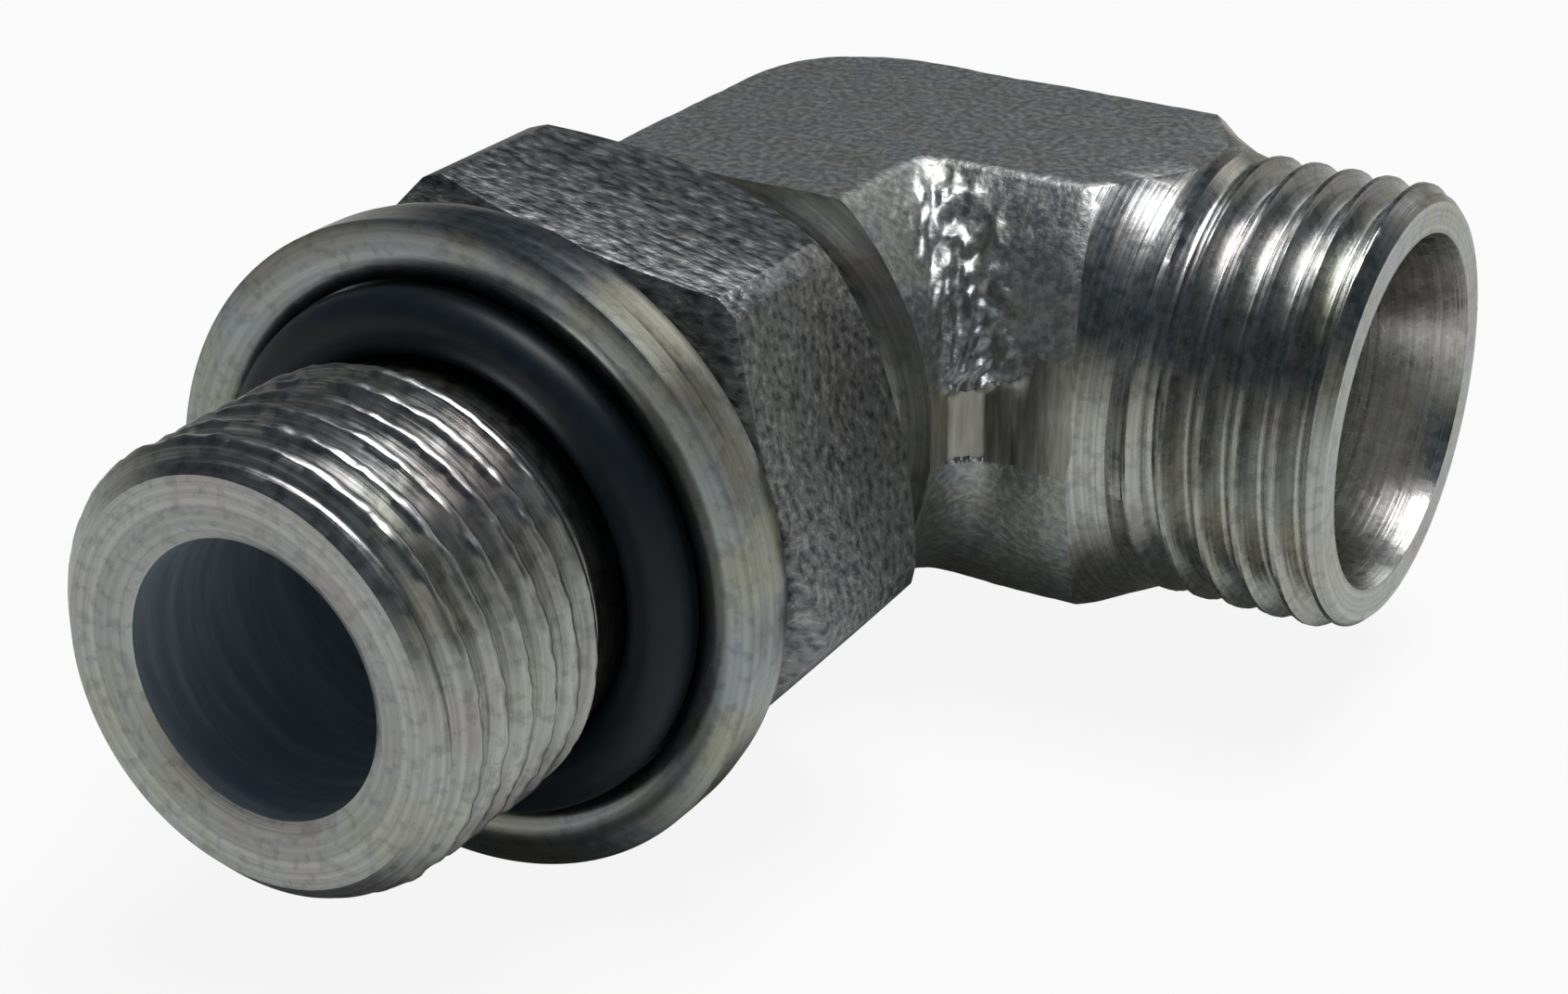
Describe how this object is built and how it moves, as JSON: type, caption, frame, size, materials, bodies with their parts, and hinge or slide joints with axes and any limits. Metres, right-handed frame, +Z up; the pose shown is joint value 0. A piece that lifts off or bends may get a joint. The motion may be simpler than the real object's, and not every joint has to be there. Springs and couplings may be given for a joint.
{
  "type": "adjustable elbow fitting",
  "caption": "Right-angle hydraulic elbow adaptor with a 24 degree cone tube end and an adjustable stud end with locknut, retaining ring and O-ring.",
  "frame": {"origin": "the point where the axes of the two ports cross", "axes": "+X out of the tube end, -Y out of the stud end, +Z up through the flat top of the forging"},
  "size_m": [0.0366, 0.0508, 0.0244],
  "materials": {
    "forged_body": "zinc-plated forged and turned steel",
    "nut_steel": "zinc-plated turned steel",
    "ring_steel": "zinc-plated pressed steel, bright edges",
    "seal_rubber": "black nitrile rubber, satin"
  },
  "bodies": {
    "elbow": {"elbow_body": "forged_body"},
    "seal": {"retaining_ring": "ring_steel", "o_ring": "seal_rubber"},
    "nut": {"locknut": "nut_steel"}
  },
  "joints": [
    {"name": "seal_slide", "type": "slide", "parent": "elbow", "child": "seal", "axis": [0, -1, 0], "range_m": [-0.00134, 0.00134]},
    {"name": "locknut_turn", "type": "hinge", "parent": "seal", "child": "nut", "pos_m": [0, -0.021, 0], "axis": [0, -1, 0], "range_deg": [-360, 360]}
  ],
  "couplings": [
    {"joint": "seal_slide", "follows": "locknut_turn", "m_per_rad": 0.00021279}
  ]
}
